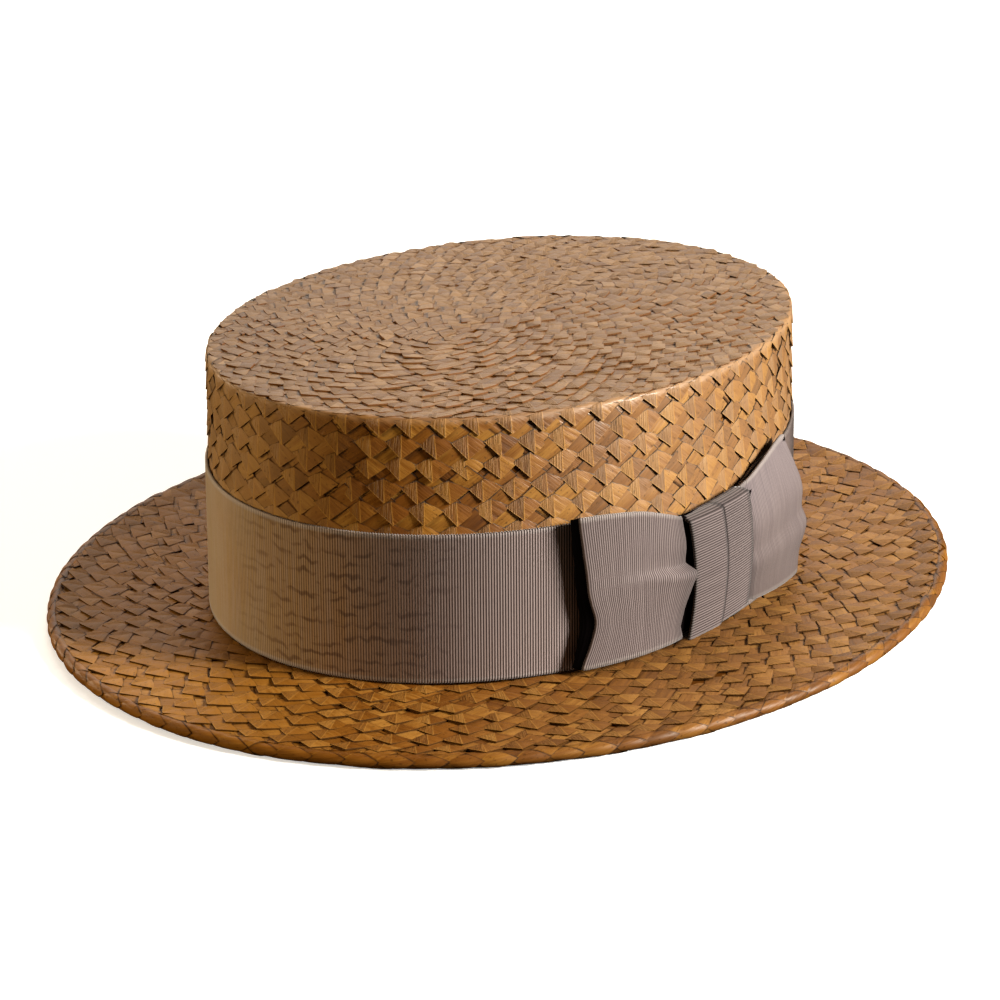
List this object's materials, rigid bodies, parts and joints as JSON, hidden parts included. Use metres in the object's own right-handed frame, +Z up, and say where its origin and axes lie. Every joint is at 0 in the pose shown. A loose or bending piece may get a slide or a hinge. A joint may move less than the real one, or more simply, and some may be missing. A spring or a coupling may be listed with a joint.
{
  "type": "straw boater hat",
  "caption": "Stiff boater hat of lapped straw plait with a flat oval crown, a flat brim with a rolled edge, a wide ribbed ribbon band and a flat side bow.",
  "frame": {"origin": "middle of the head opening, on the plane that the brim rests on", "axes": "+Z up through the crown, -Y towards the front of the hat, +X towards the bow"},
  "size_m": [0.2636, 0.306, 0.0851],
  "materials": {
    "straw": "aged brown straw, half glossy",
    "rolled_straw": "darker brown straw, half glossy",
    "ribbon": "ribbed grey mauve ribbon, stained tan"
  },
  "bodies": {
    "root": {"crown": "straw", "brim": "straw", "brim_edge": "rolled_straw", "hatband": "ribbon", "bow_loop_front": "ribbon", "bow_loop_back": "ribbon", "bow_knot": "ribbon"}
  },
  "joints": []
}
